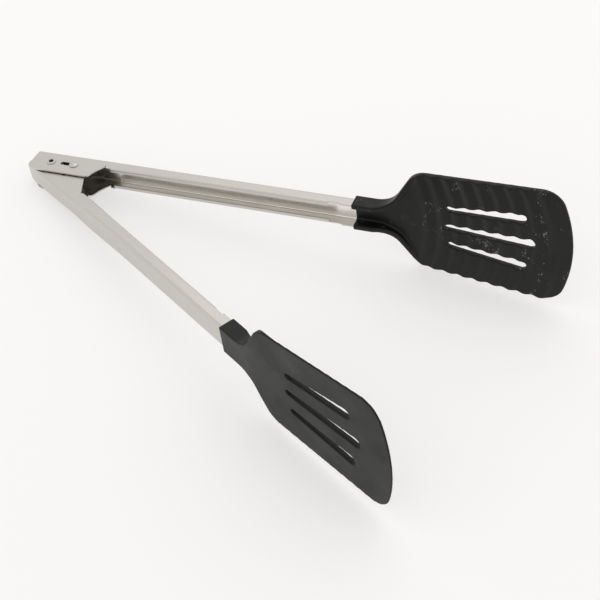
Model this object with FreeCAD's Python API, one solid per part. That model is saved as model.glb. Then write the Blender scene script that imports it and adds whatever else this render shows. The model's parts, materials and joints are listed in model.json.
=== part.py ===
import FreeCAD, Part
import math
import os

# Spring loaded kitchen tongs with turner heads, lying open. Millimetres and degrees.
# Each arm is drawn in its own frame: x from the pivot to the tip, y outwards to the
# arm's web, z across the arm with its mid height at zero.
opening_angle = 30.8      # between the two arms at rest

# pressed steel arms
arm_length = 200.0        # pivot to the mouth of the head's socket
sheet = 0.9               # gauge of the stainless sheet
channel_height = 16.0     # over the two flanges
web_offset = 9.4          # pivot centre to the outside of the web
flange_depth = 7.7        # web outside to the flange's free edge
bend_radius = 1.8         # outside of every bend
lip_height = 2.8          # inturned lips that stiffen the flanges
lip_end = arm_length - 15.0   # where the lips stop before the head
lip_notch = 7.4           # relief cut beside the end of each lip
lip_notch_depth = 2.25
tang_length = 12.0        # steel inside the socket

# hinge end of the outer arm
ear_tail = 13.5           # pivot to the tail edge
ear_front = 8.9           # pivot to the front edge
ear_tail_radius = 9.0     # front corner of the tail
ear_web_radius = 2.6      # back corner of the tail
ear_corner = 30.4         # front corner at the ear's end
ear_corner_radius = 3.5
ear_waist = 32.3          # the end edge bends here
ear_waist_drop = 3.0      # below the pivot centre
ear_waist_radius = 16.0
ear_end = 37.4            # tip of the notch between ear and lip
ear_end_rise = 4.0        # height of that tip over the pivot centre
ear_notch = 0.7           # width of the notch
outer_lip_start = 41.0

# hinge end of the inner arm, which nests between the outer ears
nest_gap = 0.55           # between the nested ears
nose_offset = 11.4        # pivot centre to the outside of the web at the pivot
nose_tail = 14.2          # pivot to the wall that closes the tail
nose_corner_radius = 4.0
flare_end = 95.0          # the web runs straight from the pivot to here
ear_side_gap = 0.7        # inner ear to the inside of the outer web, closed
inner_ear_front = 27.4    # the ear's end edge slants from here
inner_ear_end = 41.2      # to the tip of the notch between ear and flange
inner_ear_end_rise = 3.0
inner_ear_radius = 1.5
joggle_start = 43.0
joggle_end = 56.0
stop_gap = 0.1            # inner ear to the outer web at full opening

# pivot eyelet, spacer sleeve and torsion spring
eyelet_radius = 2.0
eyelet_bore = 1.5
eyelet_flange_radius = 3.0
eyelet_flange_height = 0.6
eyelet_edge_radius = 0.2
running_gap = 0.06
sleeve_radius = 2.9
sleeve_end_gap = 0.1
wire_radius = 0.6
coil_clearance = 0.3      # sleeve to the inside of the coil
coil_turns = 6
coil_pitch = 1.35
leg_reach = 30.0          # end of each leg along its arm
leg_web_gap = 0.35

# sliding lock pin
pin_radius = 1.4
pin_slot_gap = 0.08
pin_window_gap = 0.2
pin_free = 16.2           # pivot to the unlocked pin
pin_locked = 8.3          # pivot to the locked pin
pin_head_radius = 2.9
pin_head_height = 1.3
pin_head_rim = 0.35
pin_head_gap = 0.1

# nylon turner heads, their lengths counted from the mouth of the socket
socket_wall = 1.1         # outside the steel
liner_wall = 1.2          # inside the steel
socket_wall_end = arm_length + 12.0   # free edge of the socket's side walls starts to fall
socket_ramp_end = arm_length + 43.0   # and meets the blade here
blade_start = arm_length + 25.0       # the blade bends inwards here
blade_lean = 4.42         # towards the other arm
plain_thickness = 3.2     # of the smooth blade on the inner arm
ribbed_thickness = 2.6    # of the other one between its ribs
thin_start = arm_length + 100.0       # the blades thin towards the tip from here
tip_thickness = 2.2
tip_end = arm_length + 127.9          # to the middle of the tip edge
tip_edge_radius = 93.0
tip_corner_radius = 13.0
neck_end = arm_length + 22.0          # outline starts to widen
shoulder_start = arm_length + 37.0
shoulder_half_width = 32.4
blade_half_width = 37.4   # smooth blade
ribbed_extra = 1.0        # the ribbed blade is wider by this on each side
widest_at = arm_length + 113.0
neck_radius = 16.0
shoulder_radius = 13.0
slot_starts = (arm_length + 55.5, arm_length + 53.8, arm_length + 55.5)
slot_ends = (arm_length + 101.9, arm_length + 107.1, arm_length + 101.9)
slot_start_offset = 12.9
slot_end_offset = 16.7
slot_start_width = 3.4
slot_end_width = 6.2
rib_pitch = 9.2
rib_width = 3.4
rib_height = 1.2
rib_first = arm_length + 44.4   # on the centre line
rib_count = 9

half_height = channel_height / 2
front = web_offset - flange_depth
nest_half = half_height - sheet - nest_gap
pin_slot_half = pin_radius + pin_slot_gap
pin_window_half = pin_radius + pin_window_gap
socket_half = half_height + socket_wall
socket_outside = web_offset + socket_wall
half_opening = opening_angle / 2
outline_low = -2 * web_offset
outline_depth = FreeCAD.Vector(0, 4 * web_offset, 0)

Z = FreeCAD.Vector(0, 0, 1)
ORIGIN = FreeCAD.Vector(0, 0, 0)


def in_plan(z):
    """Places (x, y) corners at height z."""
    return lambda u, v: FreeCAD.Vector(u, v, z)


def across(x):
    """Places (y, z) corners of a section at x along the arm."""
    return lambda u, v: FreeCAD.Vector(x, u, v)


def in_elevation(y):
    """Places (x, z) corners at y."""
    return lambda u, v: FreeCAD.Vector(u, y, v)


def rounded_wire(corners, place):
    """Closed wire through (u, v, radius) corners, each rounded within its edges."""
    edges = []
    ends = []
    count = len(corners)
    for i, (u, v, radius) in enumerate(corners):
        here = FreeCAD.Vector(u, v, 0)
        before = FreeCAD.Vector(corners[i - 1][0], corners[i - 1][1], 0) - here
        after = FreeCAD.Vector(corners[(i + 1) % count][0], corners[(i + 1) % count][1], 0) - here
        if radius == 0:
            ends.append((here, here, None))
            continue
        half = before.getAngle(after) / 2
        reach = min(radius / math.tan(half), 0.49 * before.Length, 0.49 * after.Length)
        radius = reach * math.tan(half)
        before.normalize()
        after.normalize()
        bisector = before + after
        bisector.normalize()
        middle = here + bisector * (radius / math.sin(half) - radius)
        ends.append((here + before * reach, here + after * reach, middle))
    for i, (start, end, middle) in enumerate(ends):
        if middle is not None:
            edges.append(Part.Arc(place(start.x, start.y), place(middle.x, middle.y),
                                  place(end.x, end.y)).toShape())
        following = ends[(i + 1) % count][0]
        edges.append(Part.makeLine(place(end.x, end.y), place(following.x, following.y)))
    return Part.Wire(edges)


def prism(corners, place, direction):
    return Part.Face(rounded_wire(corners, place)).extrude(direction)


def plan_prism(corners, half):
    """Plan outline with the given half height about mid height."""
    return prism(corners, in_plan(-half), Z * (2 * half))


def channel_corners(web, edge, half, lip):
    """Section of the sheet channel as (y, z, radius) corners."""
    inner = bend_radius - sheet
    if lip == 0:
        return [(edge, half, 0), (web, half, bend_radius), (web, -half, bend_radius),
                (edge, -half, 0), (edge, sheet - half, 0), (web - sheet, sheet - half, inner),
                (web - sheet, half - sheet, inner), (edge, half - sheet, 0)]
    return [(edge, half - lip, 0), (edge, half, bend_radius), (web, half, bend_radius),
            (web, -half, bend_radius), (edge, -half, bend_radius), (edge, lip - half, 0),
            (edge + sheet, lip - half, 0), (edge + sheet, sheet - half, inner),
            (web - sheet, sheet - half, inner), (web - sheet, half - sheet, inner),
            (edge + sheet, half - sheet, inner), (edge + sheet, half - lip, 0)]


def channel(start, end, web_start, web_end, half_start, half_end, lip):
    """Straight run of the sheet channel between two sections."""
    first = rounded_wire(channel_corners(web_start, front, half_start, lip), across(start))
    last = rounded_wire(channel_corners(web_end, front, half_end, lip), across(end))
    return Part.makeLoft([first, last], True, True)


def cylinder(radius, low, high, x=0.0, y=0.0):
    return Part.makeCylinder(radius, high - low, FreeCAD.Vector(x, y, low), Z)


def track(radius, start, end):
    """Round-ended slot through the whole height between two (x, y) centres."""
    tall = channel_height
    along = FreeCAD.Vector(end[0] - start[0], end[1] - start[1], 0)
    side = FreeCAD.Vector(-along.y, along.x, 0).normalize() * radius
    first = FreeCAD.Vector(start[0], start[1], -tall)
    corners = [first - side, first - side + along, first + side + along, first + side]
    bar = Part.Face(Part.makePolygon(corners + corners[:1])).extrude(Z * (2 * tall))
    rounds = [cylinder(radius, -tall, tall, *centre) for centre in (start, end)]
    return bar.fuse(rounds)


def flange_notches():
    """Reliefs in the flange edges beside the ends of the lips."""
    corner = FreeCAD.Vector(lip_end, front + sheet - lip_notch_depth, -channel_height)
    return Part.makeBox(lip_notch, lip_notch_depth, 2 * channel_height, corner)


def straight_arm(start, web_start):
    """Lipped channel, bare end and tang, common to both arms."""
    bare = channel(lip_end, arm_length + tang_length, web_offset, web_offset,
                   half_height, half_height, 0)
    lipped = channel(flare_end, lip_end, web_offset, web_offset,
                     half_height, half_height, lip_height)
    flared = channel(start, flare_end, web_start, web_offset,
                     half_height, half_height, lip_height)
    return bare.cut(flange_notches()).fuse([lipped, flared])


def outer_arm():
    notch_back = ear_end + ear_notch
    ear_plan = [(-ear_tail, web_offset, ear_web_radius),
                (-ear_tail, -ear_front, ear_tail_radius),
                (ear_corner, -ear_front, ear_corner_radius),
                (ear_waist, -ear_waist_drop, ear_waist_radius),
                (ear_end, ear_end_rise, 0),
                (notch_back, front, 0),
                (outer_lip_start, front, 0),
                (outer_lip_start, web_offset, 0)]
    wide = rounded_wire(channel_corners(web_offset, -ear_front, half_height, 0),
                        across(-ear_tail))
    ears = Part.Face(wide).extrude(FreeCAD.Vector(outer_lip_start + ear_tail, 0, 0))
    ears = ears.common(plan_prism(ear_plan, half_height))
    arm = ears.fuse(straight_arm(outer_lip_start, web_offset))
    arm = arm.cut(cylinder(eyelet_radius, -channel_height, channel_height))
    arm = arm.cut(track(pin_slot_half, (pin_locked, 0), (pin_free, 0)))
    return arm.removeSplitter()


def on_ray(distance, angle):
    """Point at a distance from the pivot, the angle turned from x away from the web."""
    turn = math.radians(angle)
    return distance * math.cos(turn), -distance * math.sin(turn)


def inner_arm():
    def web_at(x):
        return nose_offset + (web_offset - nose_offset) * x / flare_end

    # At full opening the ears' stop edge lies along the inside of the outer web.
    edge = ear_side_gap + sheet - web_offset
    turn = math.radians(opening_angle)
    stop = web_offset - sheet - stop_gap

    def stop_at(y):
        return -(stop + y * math.cos(turn)) / math.sin(turn)

    far = -2 * nose_tail
    far_y = -(stop + far * math.sin(turn)) / math.cos(turn)
    notch_back = inner_ear_end + ear_notch
    ear_plan = [(far, far_y, 0), (stop_at(edge), edge, 0),
                (inner_ear_front, edge, inner_ear_radius),
                (inner_ear_end, inner_ear_end_rise, 0), (notch_back, front, 0),
                (joggle_start, front, 0), (joggle_start, web_at(joggle_start), 0),
                (0, nose_offset, 0), (0, 2 * nose_offset, 0), (far, 2 * nose_offset, 0)]
    ears = channel_ends(0, joggle_start, web_at, edge)
    ears = ears.fuse(closed_nose(edge)).common(plan_prism(ear_plan, nest_half))
    joggle = channel(joggle_start, joggle_end, web_at(joggle_start), web_at(joggle_end),
                     nest_half, half_height, 0)
    arm = ears.fuse([joggle, straight_arm(joggle_end, web_at(joggle_end))])
    arm = arm.cut(cylinder(eyelet_radius + running_gap, -channel_height, channel_height))
    return arm.cut(lock_window()).removeSplitter()


def channel_ends(start, end, web_at, edge):
    """Run of the narrow channel with its flanges as wide as the ears."""
    sections = [rounded_wire(channel_corners(web_at(x), edge, nest_half, 0), across(x))
                for x in (start, end)]
    return Part.makeLoft(sections, True, True)


def closed_nose(edge):
    """Web and ears behind the pivot, with the web folded round the tail."""
    corner = nose_corner_radius
    box = plan_prism([(-nose_tail, edge, 0), (0, edge, 0), (0, nose_offset, 0),
                      (-nose_tail, nose_offset, corner)], nest_half)
    hollow = plan_prism([(sheet - nose_tail, 2 * edge, 0), (0, 2 * edge, 0),
                         (0, nose_offset - sheet, 0),
                         (sheet - nose_tail, nose_offset - sheet, corner - sheet)],
                        nest_half - sheet)
    rim = [e for e in box.Edges if on_rim(e)]
    return box.makeFillet(bend_radius, rim).cut(hollow)


def on_rim(edge):
    """True for the edges between the ears and the folded web."""
    if min(abs(v.Z) for v in edge.Vertexes) < nest_half - 0.01:
        return False
    middle = edge.valueAt((edge.FirstParameter + edge.LastParameter) / 2)
    reach = nose_tail - nose_corner_radius
    return middle.x < -0.01 and (middle.y > nose_offset - 0.01 or middle.x < -reach - 0.01)


def lock_window():
    """Room for the pin in the inner ears: an arc while the arms swing, and a leg
    towards the pivot when they are closed and another when they are fully open. The
    hook left between the two legs holds the arms closed once the pin has dropped."""
    tall = channel_height
    ring = cylinder(pin_free + pin_window_half, -tall, tall)
    ring = ring.cut(cylinder(pin_free - pin_window_half, -tall, tall))
    beyond = opening_angle + math.degrees(pin_window_half / pin_free)
    reach = 2 * pin_free
    wedge = plan_prism([(0, 0, 0), (*on_ray(reach, 0), 0), (*on_ray(reach, beyond), 0)], tall)
    legs = [track(pin_window_half, on_ray(pin_locked, a), on_ray(pin_free, a))
            for a in (0, opening_angle)]
    return ring.common(wedge).fuse(legs)


def pivot_eyelet():
    eyelet = cylinder(eyelet_radius, -half_height, half_height)
    for low in (-half_height - eyelet_flange_height, half_height):
        flange = cylinder(eyelet_flange_radius, low, low + eyelet_flange_height)
        rim = max(abs(low), abs(low + eyelet_flange_height))
        outer = [e for e in flange.Edges if abs(abs(e.BoundBox.Center.z) - rim) < 0.01]
        eyelet = eyelet.fuse(flange.makeFillet(eyelet_edge_radius, outer))
    return eyelet.cut(cylinder(eyelet_bore, -channel_height, channel_height)).removeSplitter()


def pivot_sleeve():
    half = nest_half - sheet - sleeve_end_gap
    return cylinder(sleeve_radius, -half, half).cut(cylinder(eyelet_radius, -half, half))


def torsion_spring():
    """Coil round the sleeve, a leg along the inside of each arm's web."""
    coil_radius = sleeve_radius + coil_clearance + wire_radius
    leg_y = web_offset - sheet - leg_web_gap - wire_radius
    leg_far = math.hypot(leg_reach, leg_y)
    leaves = math.atan2(leg_y, leg_reach) + math.acos(coil_radius / leg_far)
    leaves = math.degrees(leaves) + half_opening
    turns = coil_turns + (360 - 2 * leaves) / 360
    height = turns * coil_pitch
    coil = Part.makeHelix(coil_pitch, height, coil_radius)
    coil.rotate(ORIGIN, Z, leaves)
    coil.translate(FreeCAD.Vector(0, 0, -height / 2))
    angle = math.radians(half_opening)
    end_x = leg_reach * math.cos(angle) - leg_y * math.sin(angle)
    end_y = leg_reach * math.sin(angle) + leg_y * math.cos(angle)
    start = FreeCAD.Vector(coil_radius * math.cos(math.radians(leaves)),
                           coil_radius * math.sin(math.radians(leaves)), -height / 2)
    finish = FreeCAD.Vector(start.x, -start.y, height / 2)
    first = Part.makeLine(FreeCAD.Vector(end_x, end_y, -height / 2), start)
    last = Part.makeLine(finish, FreeCAD.Vector(end_x, -end_y, height / 2))
    path = Part.Wire([first] + coil.Edges + [last])
    along = start - first.Vertexes[0].Point
    section = Part.Wire(Part.makeCircle(wire_radius, first.Vertexes[0].Point, along))
    return path.makePipeShell([section], True, True)


def lock_pin():
    seat = half_height + pin_head_gap
    rim = seat + pin_head_rim
    top = seat + pin_head_height
    rise = top - rim
    dome = (pin_head_radius ** 2 + rise ** 2) / (2 * rise)
    bulge = math.asin(pin_head_radius / dome) / 2
    crown = FreeCAD.Vector(dome * math.sin(bulge), 0, top - dome * (1 - math.cos(bulge)))
    points = [FreeCAD.Vector(pin_head_radius, 0, rim), FreeCAD.Vector(pin_head_radius, 0, seat),
              FreeCAD.Vector(pin_radius, 0, seat), FreeCAD.Vector(pin_radius, 0, 0),
              FreeCAD.Vector(0, 0, 0), FreeCAD.Vector(0, 0, top)]
    dome_edge = Part.Arc(points[-1], crown, points[0]).toShape()
    half = Part.Face(Part.Wire([dome_edge] + Part.makePolygon(points).Edges))
    half = half.revolve(ORIGIN, Z, 360)
    pin = half.fuse(half.mirror(ORIGIN, Z)).removeSplitter()
    return pin.translated(FreeCAD.Vector(pin_free, 0, 0))


def blade_outside(x):
    """Outer face of the blade at x."""
    return socket_outside - math.tan(math.radians(blade_lean)) * (x - blade_start)


def upper_edge(extra):
    """Corners of the spatula outline above its centre line, from the mouth past the tip."""
    shoulder = shoulder_half_width + extra
    wide = blade_half_width + extra
    past = tip_end + tip_corner_radius
    at_end = wide + (wide - shoulder) / (widest_at - shoulder_start) * (past - widest_at)
    return [(arm_length, socket_half, 0), (neck_end, socket_half, neck_radius),
            (shoulder_start, shoulder, shoulder_radius), (past, at_end, 0)]


def inset(corners, distance):
    """The same corners with every edge moved towards the centre line."""
    slopes = [math.atan2(b[1] - a[1], b[0] - a[0]) for a, b in zip(corners, corners[1:])]
    moved = []
    for (x, z, r), before, after in zip(corners, slopes[:1] + slopes, slopes + slopes[-1:]):
        share = distance / (1 + math.cos(after - before))
        radius = r + math.copysign(distance, after - before) if r else 0
        moved.append((x + share * (math.sin(before) + math.sin(after)),
                      z - share * (math.cos(before) + math.cos(after)), radius))
    return moved


def through(upper):
    """Solid right through the head from the upper corners and their mirror image."""
    lower = [(x, -z, r) for x, z, r in reversed(upper)]
    return prism(upper + lower, in_elevation(outline_low), outline_depth)


def head_outline(extra):
    """Spatula outline seen square to the blade, as a solid right through it."""
    wide = blade_half_width + extra
    shape = through(upper_edge(extra))
    tip = Part.makeCylinder(tip_edge_radius, outline_depth.y, FreeCAD.Vector(
        tip_end - tip_edge_radius, outline_low, 0), outline_depth)
    before = Part.makeBox(tip_edge_radius, outline_depth.y, 4 * wide, FreeCAD.Vector(
        tip_end - tip_edge_radius - arm_length / 2, outline_low, -2 * wide))
    shape = shape.common(tip.fuse(before))
    corners = [e for e in shape.Edges if abs(e.Length - outline_depth.y) < 0.01
               and e.Vertexes[0].X > widest_at and abs(e.Vertexes[0].Z) > shoulder_half_width + extra]
    return shape.makeFillet(tip_corner_radius, corners)


def socket_cavity(extra):
    """Room inside the socket's walls, which follow the outline into the blade."""
    return through(inset(upper_edge(extra), socket_wall + sheet + liner_wall))


def slots():
    """Three fanned, tapering drain slots."""
    cuts = []
    for row, (start, end) in zip((-1, 0, 1), zip(slot_starts, slot_ends)):
        near = row * slot_start_offset
        far = row * slot_end_offset
        narrow = slot_start_width / 2
        broad = slot_end_width / 2
        corners = [(start, near - narrow, narrow), (end, far - broad, broad),
                   (end, far + broad, broad), (start, near + narrow, narrow)]
        cuts.append(prism(corners, in_elevation(outline_low), outline_depth))
    return cuts


def side_prism(corners, half):
    """Solid with the given (x, y) side view and half width."""
    return plan_prism([(x, y, 0) for x, y in corners], half)


def rib_rings():
    """Rings with the tip edge's curve, one through each rib."""
    rings = []
    for i in range(rib_count):
        centre = FreeCAD.Vector(rib_first + i * rib_pitch - tip_edge_radius, outline_low, 0)
        ring = Part.makeCylinder(tip_edge_radius + rib_width / 2, outline_depth.y,
                                 centre, outline_depth)
        rings.append(ring.cut(Part.makeCylinder(tip_edge_radius - rib_width / 2,
                                                outline_depth.y, centre, outline_depth)))
    return rings


def head(thickness, extra, rings):
    """Socket and slotted blade, with a rib on the inner face through each ring."""
    tall = 2 * blade_half_width
    outline = head_outline(extra)
    face = [(arm_length, socket_outside), (blade_start, socket_outside),
            (tip_end, blade_outside(tip_end))]
    back = [(tip_end, blade_outside(tip_end) - tip_thickness),
            (thin_start, blade_outside(thin_start) - thickness),
            (blade_start, blade_outside(blade_start) - thickness)]
    floor = web_offset - sheet - liner_wall
    blade = side_prism(face + back + [(arm_length, floor)], tall)
    free_edge = front - socket_wall
    wall_foot = blade_outside(socket_ramp_end) - thickness / 2
    wall = side_prism([(arm_length, free_edge), (socket_wall_end, free_edge),
                       (socket_ramp_end, wall_foot), (arm_length, wall_foot)], tall)
    wall = wall.cut(socket_cavity(extra))
    crests = [(x, y - rib_height) for x, y in back]
    layer = side_prism(face[1:] + crests, tall)
    ribs = [layer.common(ring) for ring in rings]
    body = blade.fuse([wall] + ribs).common(outline)
    tang = channel(arm_length, arm_length + tang_length, web_offset, web_offset,
                   half_height, half_height, 0)
    return body.cut(slots() + [tang]).removeSplitter()


def as_outer(shape):
    """From the outer arm's frame to the frame of the open tongs."""
    return shape.rotated(ORIGIN, Z, half_opening)


def as_inner(shape):
    """From the inner arm's frame to the frame of the open tongs."""
    return shape.mirror(ORIGIN, FreeCAD.Vector(0, 1, 0)).rotated(ORIGIN, Z, -half_opening)


def lowest(points, tilt):
    return min(p.z * math.cos(tilt) + p.x * math.sin(tilt) for p in points)


def resting_tilt(tail, tip):
    """Lean of the pivot, in radians, that sets tail and tip on one level."""
    tail_points = tail.tessellate(0.05)[0]
    tip_points = tip.tessellate(0.05)[0]
    low = 0.0
    high = math.radians(20)
    for _ in range(40):
        middle = (low + high) / 2
        if lowest(tip_points, middle) < lowest(tail_points, middle):
            low = middle
        else:
            high = middle
    return low


def tongs():
    ribbed = head(ribbed_thickness, ribbed_extra, rib_rings())
    smooth = head(plain_thickness, 0, [])
    nodes = {
        "outer_arm": as_outer(outer_arm()),
        "outer_head": as_outer(ribbed),
        "inner_arm": as_inner(inner_arm()),
        "inner_head": as_inner(smooth),
        "pivot_eyelet": pivot_eyelet(),
        "pivot_sleeve": pivot_sleeve(),
        "torsion_spring": torsion_spring(),
        "lock_pin": as_outer(lock_pin()),
    }
    # Laid down, the tongs rest on the pin's lower head and a corner of each blade.
    tilt = resting_tilt(nodes["lock_pin"], nodes["outer_head"])
    print("tilt", round(math.degrees(tilt), 4))
    for name in nodes:
        nodes[name] = nodes[name].rotated(ORIGIN, FreeCAD.Vector(0, -1, 0), math.degrees(tilt))
    box = Part.makeCompound(list(nodes.values())).optimalBoundingBox(False, False)
    origin = FreeCAD.Vector(-box.Center.x, -box.Center.y, -box.ZMin)
    print("pivot", origin)
    return {name: shape.translated(origin) for name, shape in nodes.items()}


os.makedirs("parts", exist_ok=True)
for name, shape in tongs().items():
    print(name, shape.ShapeType, shape.isValid(), len(shape.Solids), round(shape.Volume, 2))
    shape.exportStep("parts/" + name + ".step")
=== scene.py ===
import bpy
import json
import math
import numpy as np
import openvdb
from mathutils import Euler, Matrix, Vector


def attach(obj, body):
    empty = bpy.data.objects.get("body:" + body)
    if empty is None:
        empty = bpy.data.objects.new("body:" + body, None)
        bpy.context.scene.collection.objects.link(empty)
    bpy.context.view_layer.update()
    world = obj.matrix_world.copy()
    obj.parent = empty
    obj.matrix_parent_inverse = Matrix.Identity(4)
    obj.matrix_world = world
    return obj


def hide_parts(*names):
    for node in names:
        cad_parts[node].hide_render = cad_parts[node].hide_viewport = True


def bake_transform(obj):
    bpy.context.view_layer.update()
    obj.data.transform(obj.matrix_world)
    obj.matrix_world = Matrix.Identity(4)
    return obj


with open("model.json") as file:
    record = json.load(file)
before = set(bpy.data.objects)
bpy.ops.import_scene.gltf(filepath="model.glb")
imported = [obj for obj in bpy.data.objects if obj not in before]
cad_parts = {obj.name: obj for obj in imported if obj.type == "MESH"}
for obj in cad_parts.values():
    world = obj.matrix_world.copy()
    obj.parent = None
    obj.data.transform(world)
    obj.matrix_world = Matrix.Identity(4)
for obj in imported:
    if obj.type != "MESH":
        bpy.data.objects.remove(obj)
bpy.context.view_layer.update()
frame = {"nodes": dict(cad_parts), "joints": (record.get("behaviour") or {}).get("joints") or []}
mm = 0.001  # metres
print("CAD frame loaded")

# Arm places: x from the pivot to the tip, y outwards to the web, z across the arm.
joints = {j["name"]: j for j in frame["joints"]}
pivot = Vector(joints["arm_pivot"]["pos_m"])
across = Vector(joints["arm_pivot"]["axis"]).normalized()
alongOuter = -Vector(joints["lock_slide"]["axis"]).normalized()
outerTurn = Matrix((alongOuter, across.cross(alongOuter), across)).transposed()
outerPlace = Matrix.Translation(pivot) @ outerTurn.to_4x4()
innerPlace = Matrix.Scale(-1, 4, (0, 1, 0)) @ outerPlace


def hexColour(text):
    # sRGB hex to linear
    parts = [int(text[i:i + 2], 16) / 255 for i in (1, 3, 5)]
    return [c / 12.92 if c <= 0.04045 else ((c + 0.055) / 1.055) ** 2.4 for c in parts] + [1]


def addNode(tree, kind, links=None, **settings):
    # settings are the node's own options, or sockets by name
    node = tree.nodes.new(kind)
    for key, value in settings.items():
        if hasattr(node, key):
            setattr(node, key, value)
        else:
            node.inputs[key.replace("_", " ")].default_value = value
    for key, source in (links or {}).items():
        tree.links.new(source, node.inputs[key])
    return node


def newMaterial(name):
    material = bpy.data.materials.new(name)
    material.use_nodes = True
    material.node_tree.nodes.clear()
    return material, material.node_tree


def dress(node, material):
    # a CAD piece keeps its mesh and gets one material
    mesh = frame["nodes"][node].data
    mesh.materials.clear()
    mesh.materials.append(material)


steelSheet = {
    "colour": "#d3d0ca", "lines": "#c0bdb7",
    "roughness": 0.30, "spread": 0.10,
    "lineWidth": 0.35,      # mm; real polishing lines are too fine to show
    "lineLength": 45.0,     # mm
    "depth": 0.002,         # mm
    "cloudScale": 60.0,     # per metre, slow changes in the polish
    "polishFrom": 0.1, "polishTo": 0.45,
    "inside": "#f6f3ec",    # painted light: a near-white colour inside the channel, standing in for light reflected there
    "paintedLightHalf": 7.4,      # mm, the web's inside between the two bends
    "paintedLightFrom": 8.1, "paintedLightTo": 8.95,                # mm from the pivot
    "paintedLightStart": {"outer_arm": 42.0, "inner_arm": 60.0},  # mm, past the hinge
}


def brushedStainless(name, place, arm, values):
    # Stainless sheet, belt-brushed along the arm: long faint lines and a soft streaky glare
    material, tree = newMaterial(name)
    where = addNode(tree, "ShaderNodeTexCoord")
    # a Mapping node can't mirror, so the mirrored arm's y counts the other way
    side = math.copysign(1, place.determinant())
    toArm = (place @ Matrix.Scale(side, 4, (0, 1, 0))).inverted()
    lined = addNode(tree, "ShaderNodeMapping", {"Vector": where.outputs["Object"]},
                    vector_type="POINT", Rotation=toArm.to_euler(),
                    Location=toArm.translation)
    length, width = values["lineLength"] * mm, values["lineWidth"] * mm
    stretched = addNode(tree, "ShaderNodeMapping", {"Vector": lined.outputs[0]},
                        Scale=(1 / length, 1 / width, 1 / width))
    lines = addNode(tree, "ShaderNodeTexNoise", {"Vector": stretched.outputs[0]},
                    Scale=1.0, Detail=3.0, Roughness=0.6)
    cloud = addNode(tree, "ShaderNodeTexNoise", {"Vector": lined.outputs[0]},
                    Scale=values["cloudScale"], Detail=2.0)
    tint = addNode(tree, "ShaderNodeMix", {"Factor": lines.outputs["Fac"]}, data_type="RGBA")
    tint.inputs[6].default_value = hexColour(values["colour"])
    tint.inputs[7].default_value = hexColour(values["lines"])
    # the inside of the web, found by its place on the arm, gets a painted brightness standing in
    # for light reflected in the channel
    parts = addNode(tree, "ShaderNodeSeparateXYZ", {0: lined.outputs[0]})
    high = addNode(tree, "ShaderNodeMath", {0: parts.outputs["Z"]}, operation="ABSOLUTE")
    low = addNode(tree, "ShaderNodeMath", {0: high.outputs[0]}, operation="LESS_THAN")
    low.inputs[1].default_value = values["paintedLightHalf"] * mm
    middle = (values["paintedLightFrom"] + values["paintedLightTo"]) / 2 * mm
    halfDeep = (values["paintedLightTo"] - values["paintedLightFrom"]) / 2 * mm
    deep = addNode(tree, "ShaderNodeMath", {0: parts.outputs["Y"]}, operation="COMPARE")
    deep.inputs[1].default_value = middle * side
    deep.inputs[2].default_value = halfDeep
    beyond = addNode(tree, "ShaderNodeMath", {0: parts.outputs["X"]}, operation="GREATER_THAN")
    beyond.inputs[1].default_value = values["paintedLightStart"][arm] * mm
    both = addNode(tree, "ShaderNodeMath", {0: low.outputs[0], 1: deep.outputs[0]},
                   operation="MULTIPLY")
    both = addNode(tree, "ShaderNodeMath", {0: both.outputs[0], 1: beyond.outputs[0]},
                   operation="MULTIPLY")
    # painted light: the brighter colour laid over the brushed tint inside the channel
    paintedInsideLight = addNode(tree, "ShaderNodeMix", {"Factor": both.outputs[0], 6: tint.outputs[2]},
                     data_type="RGBA")
    paintedInsideLight.inputs[7].default_value = hexColour(values["inside"])
    mixed = addNode(tree, "ShaderNodeMath", {0: lines.outputs["Fac"], 1: cloud.outputs["Fac"]},
                    operation="MULTIPLY")
    rough = addNode(tree, "ShaderNodeMapRange", {"Value": mixed.outputs[0]})
    rough.inputs["From Min"].default_value = values["polishFrom"]
    rough.inputs["From Max"].default_value = values["polishTo"]
    rough.inputs["To Min"].default_value = values["roughness"] - values["spread"] / 2
    rough.inputs["To Max"].default_value = values["roughness"] + values["spread"] / 2
    bump = addNode(tree, "ShaderNodeBump", {"Height": lines.outputs["Fac"]},
                   Strength=0.6, Distance=values["depth"] * mm)
    shader = addNode(tree, "ShaderNodeBsdfPrincipled",
                     {"Base Color": paintedInsideLight.outputs[2], "Roughness": rough.outputs[0],
                      "Normal": bump.outputs[0]}, Metallic=1.0)
    addNode(tree, "ShaderNodeOutputMaterial", {"Surface": shader.outputs[0]})
    return material


# grain and depth of the dimples in mm
turnedSteel = {"colour": "#c6c3bd", "bright": 0.20, "dull": 0.34, "grain": 0.5, "depth": 0.003}
springSteel = {"colour": "#9b9892", "bright": 0.28, "dull": 0.42, "grain": 0.4, "depth": 0.004}


def tumbledSteel(name, values):
    # Small steel parts, tumbled bright: an even shine with soft random dimples
    material, tree = newMaterial(name)
    where = addNode(tree, "ShaderNodeTexCoord")
    grain = addNode(tree, "ShaderNodeTexNoise", {"Vector": where.outputs["Object"]},
                    Scale=1 / (values["grain"] * mm), Detail=2.0)
    rough = addNode(tree, "ShaderNodeMapRange", {"Value": grain.outputs["Fac"]})
    rough.inputs["To Min"].default_value = values["bright"]
    rough.inputs["To Max"].default_value = values["dull"]
    bump = addNode(tree, "ShaderNodeBump", {"Height": grain.outputs["Fac"]},
                   Strength=0.5, Distance=values["depth"] * mm)
    shader = addNode(tree, "ShaderNodeBsdfPrincipled",
                     {"Roughness": rough.outputs[0], "Normal": bump.outputs[0]}, Metallic=1.0)
    shader.inputs["Base Color"].default_value = hexColour(values["colour"])
    addNode(tree, "ShaderNodeOutputMaterial", {"Surface": shader.outputs[0]})
    return material


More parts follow.
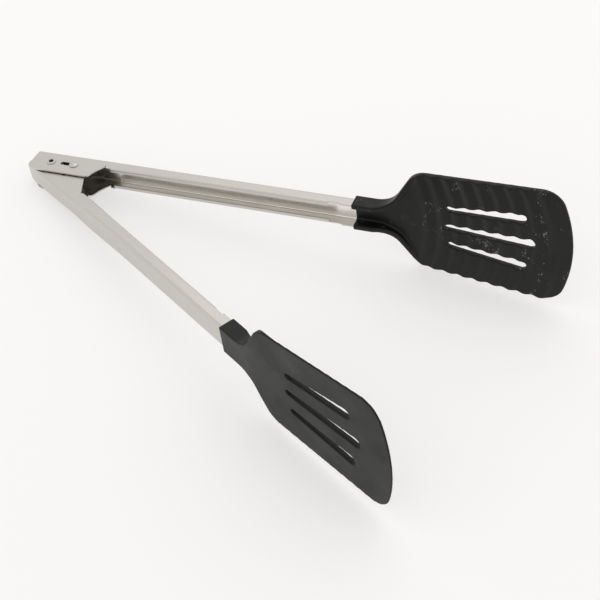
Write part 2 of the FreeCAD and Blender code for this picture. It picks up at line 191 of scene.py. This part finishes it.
nylonHead = {
    "colour": "#0d0d0b", "worn": "#2c2b29", "speck": "#77756f",
    "roughness": 0.52, "wornRoughness": 0.36, "shine": 0.25,
    "grain": 0.45,          # mm, spark-eroded mould texture
    "depth": 0.012,         # mm
    "flowScale": 45.0,      # per metre, slow changes in the sheen
    "flowFrom": 0.3, "flowTo": 0.7,
    "scuffs": 9.0, "scuffFrom": 0.63, "scuffTo": 0.74,  # mm between scuffs, and how rare
    "specks": 0.9, "patches": 13.0,                     # mm, pale specks lying in patches
    "speckFrom": 0.42, "speckTo": 0.50,                 # how rare they are
    "wearAndHighlightAt": 313.0, "wearAndHighlightWidth": 2.6, "wearAndHighlightRadius": 93.0,    # mm, on the arm; pale specks crowd along the last rib's crest here, a painted highlight mixed with wear
    "wearAndHighlightBoost": 0.12,
}


def mouldedNylon(name, place, wear, values):
    # Glass-filled nylon from a spark-eroded mould: satin black, fine grain, a few pale scuffs
    material, tree = newMaterial(name)
    where = addNode(tree, "ShaderNodeTexCoord")
    grain = addNode(tree, "ShaderNodeTexNoise", {"Vector": where.outputs["Object"]},
                    Scale=1 / (values["grain"] * mm), Detail=2.0, Roughness=0.6)
    flow = addNode(tree, "ShaderNodeTexNoise", {"Vector": where.outputs["Object"]},
                   Scale=values["flowScale"], Detail=3.0)
    marks = addNode(tree, "ShaderNodeTexNoise", {"Vector": where.outputs["Object"]},
                    Scale=1 / (values["scuffs"] * mm), Detail=6.0, Roughness=0.75, Distortion=0.6)
    worn = addNode(tree, "ShaderNodeValToRGB", {"Fac": marks.outputs["Fac"]})
    worn.color_ramp.elements[0].position = values["scuffFrom"]
    worn.color_ramp.elements[1].position = values["scuffTo"]
    tint = addNode(tree, "ShaderNodeMix", {"Factor": worn.outputs["Color"]}, data_type="RGBA")
    tint.inputs[6].default_value = hexColour(values["colour"])
    tint.inputs[7].default_value = hexColour(values["worn"])
    fine = addNode(tree, "ShaderNodeTexNoise", {"Vector": where.outputs["Object"]},
                   Scale=1 / (values["specks"] * mm), Detail=1.0)
    patch = addNode(tree, "ShaderNodeTexNoise", {"Vector": where.outputs["Object"]},
                    Scale=1 / (values["patches"] * mm), Detail=1.0, Distortion=1.0)
    together = addNode(tree, "ShaderNodeMath", {0: fine.outputs["Fac"], 1: patch.outputs["Fac"]},
                       operation="MULTIPLY")
    # near the tip the ribbed head has pale specks in patches from wear, crowded along the last
    # rib's crest as a painted highlight; the smooth one hardly shows it
    toArm = place.inverted()
    centre = values["wearAndHighlightAt"] - values["wearAndHighlightRadius"]
    arm = addNode(tree, "ShaderNodeMapping", {"Vector": where.outputs["Object"]},
                  vector_type="POINT", Rotation=toArm.to_euler(),
                  Location=toArm.translation - Vector((centre, 0, 0)) * mm)
    flat = addNode(tree, "ShaderNodeMapping", {"Vector": arm.outputs[0]}, Scale=(1, 0, 1))
    reach = addNode(tree, "ShaderNodeVectorMath", {0: flat.outputs[0]}, operation="LENGTH")
    # painted highlight: the band along the last rib's crest where the pale specks crowd
    near = addNode(tree, "ShaderNodeMath", {0: reach.outputs["Value"]}, operation="COMPARE")
    near.inputs[1].default_value = values["wearAndHighlightRadius"] * mm
    near.inputs[2].default_value = values["wearAndHighlightWidth"] / 2 * mm
    boost = addNode(tree, "ShaderNodeMath", {0: near.outputs[0], 2: together.outputs[0]},
                    operation="MULTIPLY_ADD")
    boost.inputs[1].default_value = values["wearAndHighlightBoost"]
    speck = addNode(tree, "ShaderNodeMapRange", {"Value": boost.outputs[0]})
    speck.inputs["From Min"].default_value = values["speckFrom"]
    speck.inputs["From Max"].default_value = values["speckTo"]
    speck.inputs["To Max"].default_value = wear
    spotted = addNode(tree, "ShaderNodeMix", {"Factor": speck.outputs[0], 6: tint.outputs[2]},
                      data_type="RGBA")
    spotted.inputs[7].default_value = hexColour(values["speck"])
    rough = addNode(tree, "ShaderNodeMapRange", {"Value": flow.outputs["Fac"]})
    rough.inputs["From Min"].default_value = values["flowFrom"]
    rough.inputs["From Max"].default_value = values["flowTo"]
    rough.inputs["To Min"].default_value = values["wornRoughness"]
    rough.inputs["To Max"].default_value = values["roughness"]
    bump = addNode(tree, "ShaderNodeBump", {"Height": grain.outputs["Fac"]},
                   Strength=0.5, Distance=values["depth"] * mm)
    shader = addNode(tree, "ShaderNodeBsdfPrincipled",
                     {"Base Color": spotted.outputs[2], "Roughness": rough.outputs[0],
                      "Normal": bump.outputs[0]}, IOR=1.53)
    shader.inputs["Specular IOR Level"].default_value = values["shine"]
    addNode(tree, "ShaderNodeOutputMaterial", {"Surface": shader.outputs[0]})
    return material


for arm, place, name in (("outer_arm", outerPlace, "brushedStainlessOuter"),
                         ("inner_arm", innerPlace, "brushedStainlessInner")):
    dress(arm, brushedStainless(name, place, arm, steelSheet))
rivetSteel = tumbledSteel("tumbledRivetSteel", turnedSteel)
for node in ("pivot_eyelet", "pivot_sleeve", "lock_pin"):
    dress(node, rivetSteel)
print("steel dressed")

# Turner heads: mm in the arm's own frame, the bladeLean in degrees.
headSizes = {
    "mouth": 200.0, "pastMouth": 20.0, "neckHalf": 9.1, "neckEnd": 222.0, "neckRadius": 16.0,
    "shoulderAt": 237.0, "shoulderHalf": 32.4, "shoulderRadius": 13.0,
    "widestAt": 313.0, "widestHalf": 37.4,
    "tipEnd": 327.9, "tipRadius": 93.0, "tipCorner": 13.0,
    "cornerPoints": 14, "tipPoints": 30,
    "outside": 10.5, "bladeStart": 225.0, "bladeLean": 4.42, "bendRadius": 4.0,
    "floor": 3.2, "floorRun": 8.0, "thinFrom": 300.0, "tipThickness": 2.2,
    "feather": 7.0, "featherRun": 12.0,     # the rim gets thinner over this width and length
    "ribFirst": 244.4, "ribPitch": 9.2, "ribCount": 9, "ribSharpness": 0.8,
    "wall": 3.2, "wallRadius": 0.8, "filletRadius": 1.2,
    "freeEdge": 0.6, "rampStart": 212.0, "rampEnd": 250.0,
    "slots": [(255.5, -12.9, 301.9, -16.7), (253.8, 0.0, 307.1, 0.0),
              (255.5, 12.9, 301.9, 16.7)],      # start and end of each, x and z
    "slotNarrow": 3.4, "slotBroad": 6.2, "slotEdgeRadius": 0.45,
    "voxel": 0.45, "margin": 3.5,   # grid that the moulding is meshed on
}
# The outer arm carries the ribbed head, the inner arm the smooth one.
headKinds = {
    "outer_head": {"thickness": 2.6, "edge": 2.6, "extra": 1.0, "ribHeight": 1.15,
                   "wear": 1.0, "edgeRadius": 0.6},
    "inner_head": {"thickness": 3.2, "edge": 1.1, "extra": 0.0, "ribHeight": 0.0,
                   "wear": 0.1, "edgeRadius": 0.3},
}


def roundBoth(a, b, radius):
    # inside both shapes, with a square edge between them rounded
    inside = np.minimum(np.maximum(a, b), -radius)
    return inside + np.hypot(np.maximum(a + radius, 0), np.maximum(b + radius, 0))


def roundEither(a, b, radius):
    # inside either shape, with a square corner between them filled
    outside = np.maximum(np.minimum(a, b), radius)
    return outside - np.hypot(np.maximum(radius - a, 0), np.maximum(radius - b, 0))


def ease(t):
    t = np.clip(t, 0, 1)
    return t * t * (3 - 2 * t)


def filletPoints(before, corner, after, radius, count):
    # points of the arc that rounds a corner
    corner = Vector(corner)
    one, two = (Vector(before) - corner).normalized(), (Vector(after) - corner).normalized()
    half = one.angle(two) / 2
    centre = corner + (one + two).normalized() * (radius / math.sin(half))
    start = corner + one * (radius / math.tan(half)) - centre
    turn = one.angle_signed(two)
    sweep = math.copysign(math.pi - 2 * half, turn)
    return [centre + Matrix.Rotation(sweep * i / count, 2) @ start for i in range(count + 1)]


def outlinePoints(s):
    # upper half of the outline seen square to the blade, from the mouth to the tip
    mouth, neck = (s["mouth"], s["neckHalf"]), (s["neckEnd"], s["neckHalf"])
    shoulder = Vector((s["shoulderAt"], s["shoulderHalf"] + s["extra"]))
    widest = Vector((s["widestAt"], s["widestHalf"] + s["extra"]))
    points = [Vector(mouth)]
    count = s["cornerPoints"]
    points += filletPoints(mouth, neck, shoulder, s["neckRadius"], count)
    points += filletPoints(neck, shoulder, widest, s["shoulderRadius"], count)
    # the tip's corner touches the side and the wide arc of the tip
    along = (widest - shoulder).normalized()
    inward = Vector((along.y, -along.x))
    arcCentre = Vector((s["tipEnd"] - s["tipRadius"], 0))
    offset = shoulder + inward * s["tipCorner"] - arcCentre
    far = s["tipRadius"] - s["tipCorner"]
    run = -offset.dot(along) + math.sqrt(offset.dot(along) ** 2 - offset.length_squared + far ** 2)
    centre = arcCentre + offset + along * run
    side, tip = -inward, (centre - arcCentre).normalized()
    sweep = side.angle_signed(tip)
    for i in range(count + 1):
        points.append(centre + Matrix.Rotation(-sweep * i / count, 2) @ side * s["tipCorner"])
    last = math.atan2(tip.y, tip.x)
    count = s["tipPoints"]
    for i in range(1, count + 1):
        turn = last * (1 - i / count)
        points.append(arcCentre + Vector((math.cos(turn), math.sin(turn))) * s["tipRadius"])
    return points


def outlineDistance(x, z, s):
    upper = outlinePoints(s)
    ring = upper + [Vector((p.x, -p.y)) for p in reversed(upper[:-1])]
    nearest = np.full(x.shape, 1e6)
    inside = np.zeros(x.shape, bool)
    for a, b in zip(ring, ring[1:] + ring[:1]):
        run, rise = b.x - a.x, b.y - a.y
        t = np.clip(((x - a.x) * run + (z - a.y) * rise) / (run ** 2 + rise ** 2), 0, 1)
        nearest = np.minimum(nearest, (x - a.x - t * run) ** 2 + (z - a.y - t * rise) ** 2)
        if rise:
            crosses = ((a.y > z) != (b.y > z)) & (x < run * (z - a.y) / rise + a.x)
            inside = inside ^ crosses
    return np.where(inside, -1, 1) * np.sqrt(nearest)


def slotDistance(x, z, s):
    nearest = np.full(x.shape, 1e3)
    small, large = s["slotNarrow"] / 2, s["slotBroad"] / 2
    for startX, startZ, endX, endZ in s["slots"]:
        runX, runZ = endX - large - startX - small, endZ - startZ
        fromX, fromZ = x - startX - small, z - startZ
        t = np.clip((fromX * runX + fromZ * runZ) / (runX ** 2 + runZ ** 2), 0, 1)
        gap = np.hypot(fromX - t * runX, fromZ - t * runZ) - small - t * (large - small)
        nearest = np.minimum(nearest, gap)
    return nearest


def headDistance(x, y, z, s):
    # side has no edge at the mouth, where the socket is open
    side = outlineDistance(x, z, {**s, "mouth": s["mouth"] - s["pastMouth"]})
    outline = roundBoth(side, s["mouth"] - x, s["slotEdgeRadius"])
    past = x - s["bladeStart"]
    bent = (past + np.hypot(past, s["bendRadius"])) / 2
    outside = s["outside"] - math.tan(math.radians(s["bladeLean"])) * bent
    floorEnd = s["bladeStart"] + s["floorRun"] / 2
    thick = s["thickness"] + (s["floor"] - s["thickness"]) * ease((floorEnd - x) / s["floorRun"])
    thinning = np.clip((x - s["thinFrom"]) / (s["tipEnd"] - s["thinFrom"]), 0, 1)
    thick = thick - (s["thickness"] - s["tipThickness"]) * thinning
    # the smooth blade is feathered towards its rim
    feather = ease((x - s["bladeStart"]) / s["featherRun"]) * (1 - ease(-outline / s["feather"]))
    thick = thick - (thick - s["edge"]) * feather * (s["edge"] < s["thickness"])
    # ribs follow the curve of the tip
    bow = s["tipRadius"] - np.sqrt(s["tipRadius"] ** 2 - z ** 2)
    turn = (x + bow - s["ribFirst"]) / s["ribPitch"]
    wave = 0.5 + 0.5 * np.cos(2 * math.pi * np.clip(turn, -0.5, s["ribCount"] - 0.5))
    inner = outside - thick - s["ribHeight"] * wave ** s["ribSharpness"]
    blade = roundBoth(outline, np.maximum(y - outside, inner - y), s["edgeRadius"])
    blade = roundBoth(blade, -slotDistance(x, z, s), s["slotEdgeRadius"])
    # side walls of the socket, falling away along the shoulders
    fall = np.clip((x - s["rampStart"]) / (s["rampEnd"] - s["rampStart"]), 0, 1)
    free = s["freeEdge"] + (outside - s["freeEdge"]) * fall
    band = roundBoth(outline, -side - s["wall"], s["wallRadius"])
    wall = roundBoth(band, np.maximum(free - y, y - outside), s["wallRadius"])
    # the fillet between them may not bulge through the outer faces
    return np.maximum(roundEither(blade, wall, s["filletRadius"]),
                      roundBoth(outline, y - outside, s["edgeRadius"]))


def headMesh(name, s):
    # the moulding as a distance field, turned into quads
    step = s["voxel"]
    half = s["widestHalf"] + s["margin"]
    low = np.array([s["mouth"] - 2 * step, -4.0, -half])
    high = np.array([s["tipEnd"] + 2 * step, s["outside"] + 2 * step, half])
    x, y, z = np.meshgrid(*[np.arange(a, b, step) for a, b in zip(low, high)],
                          indexing="ij", sparse=True)
    grid = openvdb.FloatGrid(10.0)
    grid.copyFromArray(headDistance(x, y, z, s).astype(np.float32))
    points, quads = grid.convertToQuads(isovalue=0.0)
    mesh = bpy.data.meshes.new(name)
    mesh.from_pydata((points * step + low) * mm, [], quads[:, ::-1])
    mesh.validate()
    return mesh


for node, body, place in (("outer_head", "outer_arm", outerPlace),
                          ("inner_head", "inner_arm", innerPlace)):
    mesh = headMesh(node + "Moulding", {**headSizes, **headKinds[node]})
    mesh.transform(place)
    if place.determinant() < 0:
        mesh.flip_normals()
    mesh.materials.append(
        mouldedNylon(node + "MouldedNylon", place, headKinds[node]["wear"], nylonHead))
    mesh.shade_smooth()
    head = bpy.data.objects.new(node + "Moulding", mesh)
    bpy.context.scene.collection.objects.link(head)
    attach(head, body)
    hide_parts(node)
    print(node, len(mesh.polygons), "faces")

# Torsion spring, mm: radii of the coil and of the wire, and where each leg ends on its arm.
springSizes = {"coil": 3.8, "wire": 0.6, "pitch": 1.35, "turns": 6,
               "legX": 30.0, "legY": 7.55, "coilPoints": 220, "legPoints": 12}


def springPath(s):
    halfOpen = math.atan2(alongOuter.y, Vector((alongOuter.x, alongOuter.z)).length)
    reach = math.hypot(s["legX"], s["legY"])
    leaves = math.atan2(s["legY"], s["legX"]) + math.acos(s["coil"] / reach) + halfOpen
    turns = s["turns"] + 1 - leaves / math.pi
    height = turns * s["pitch"]
    endX = s["legX"] * math.cos(halfOpen) - s["legY"] * math.sin(halfOpen)
    endY = s["legX"] * math.sin(halfOpen) + s["legY"] * math.cos(halfOpen)
    coil = []
    count = s["coilPoints"]
    for i in range(count + 1):
        turn = leaves + 2 * math.pi * turns * i / count
        coil.append(Vector((s["coil"] * math.cos(turn), s["coil"] * math.sin(turn),
                            height * (i / count - 0.5))))
    first = Vector((endX, endY, -height / 2))
    last = Vector((endX, -endY, height / 2))
    steps = s["legPoints"]
    firstLeg = [first.lerp(coil[0], i / steps) for i in range(steps)]
    lastLeg = [coil[-1].lerp(last, i / steps) for i in range(1, steps + 1)]
    return firstLeg + coil + lastLeg, height


points, height = springPath(springSizes)
line = bpy.data.curves.new("torsionSpringWire", "CURVE")
line.dimensions = "3D"
line.bevel_depth = springSizes["wire"] * mm
line.bevel_resolution = 5
line.use_fill_caps = True
spline = line.splines.new("POLY")
spline.points.add(len(points) - 1)
level = Matrix((Vector((across.z, 0, -across.x)), Vector((0, 1, 0)), across)).transposed()
for point, spot in zip(points, spline.points):
    spot.co = (*(pivot + level @ (point * mm)), 1)
wire = bpy.data.objects.new("torsionSpringWire", line)
bpy.context.scene.collection.objects.link(wire)
spring = bpy.data.objects.new("torsionSpringCoil", bpy.data.meshes.new_from_object(wire))
bpy.context.scene.collection.objects.link(spring)
bpy.data.objects.remove(wire)
spring.data.materials.clear()
spring.data.materials.append(tumbledSteel("drawnSpringWire", springSteel))
spring.data.shade_smooth()
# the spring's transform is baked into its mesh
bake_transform(spring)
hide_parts("torsion_spring")
print("spring wound")

# Stage: lengths in metres, the camera's place in mm.
studio = {
    "floorReach": 12.0, "floor": "#b4b3b2", "glow": "#fcfbfb", "glowStrength": 0.52,
    "world": "#fcfbfa", "worldStrength": 0.93,
    "keyPlace": (-0.35, 0.70, 1.30), "keySize": 1.3, "keyPower": 2.1,
    "cameraPlace": (545.02, -382.02, 451.60),   # from the pivot, along the tongs' own axes
    "cameraTurn": (47.3494, 6.4735, 36.8037),   # degrees
    "lens": 74.44, "sensor": 36.0,              # mm
}

floorMesh = bpy.data.meshes.new("studioFloor")
reach = studio["floorReach"]
floorMesh.from_pydata([(-reach, -reach, 0), (reach, -reach, 0), (reach, reach, 0),
                       (-reach, reach, 0)], [], [(0, 1, 2, 3)])
floor = bpy.data.objects.new("studioFloor", floorMesh)
bpy.context.scene.collection.objects.link(floor)
# lit from below as on a light table, so shadows stay faint
paper, tree = newMaterial("studioPaper")
sheen = addNode(tree, "ShaderNodeBsdfPrincipled", Roughness=0.85)
sheen.inputs["Base Color"].default_value = hexColour(studio["floor"])
sheen.inputs["Emission Color"].default_value = hexColour(studio["glow"])
sheen.inputs["Emission Strength"].default_value = studio["glowStrength"]
addNode(tree, "ShaderNodeOutputMaterial", {"Surface": sheen.outputs[0]})
floorMesh.materials.append(paper)

world = bpy.data.worlds.new("studioWorld")
world.use_nodes = True
world.node_tree.nodes["Background"].inputs[0].default_value = hexColour(studio["world"])
world.node_tree.nodes["Background"].inputs[1].default_value = studio["worldStrength"]
bpy.context.scene.world = world

light = bpy.data.lights.new("keySoftbox", "AREA")
light.size = studio["keySize"]
light.energy = studio["keyPower"]
holder = bpy.data.objects.new("keySoftbox", light)
holder.location = studio["keyPlace"]
holder.rotation_euler = (-Vector(holder.location)).to_track_quat("-Z", "Y").to_euler()
bpy.context.scene.collection.objects.link(holder)

lens = bpy.data.cameras.new("studioCamera")
lens.lens = studio["lens"]
lens.sensor_width = studio["sensor"]
camera = bpy.data.objects.new("studioCamera", lens)
camera.matrix_world = (
    Matrix.Translation(pivot) @ level.to_4x4()
    @ Matrix.Translation(Vector(studio["cameraPlace"]) * mm)
    @ Euler([math.radians(a) for a in studio["cameraTurn"]]).to_matrix().to_4x4())
bpy.context.scene.collection.objects.link(camera)
bpy.context.scene.camera = camera
bpy.context.scene.view_settings.view_transform = "Standard"
print("stage set")
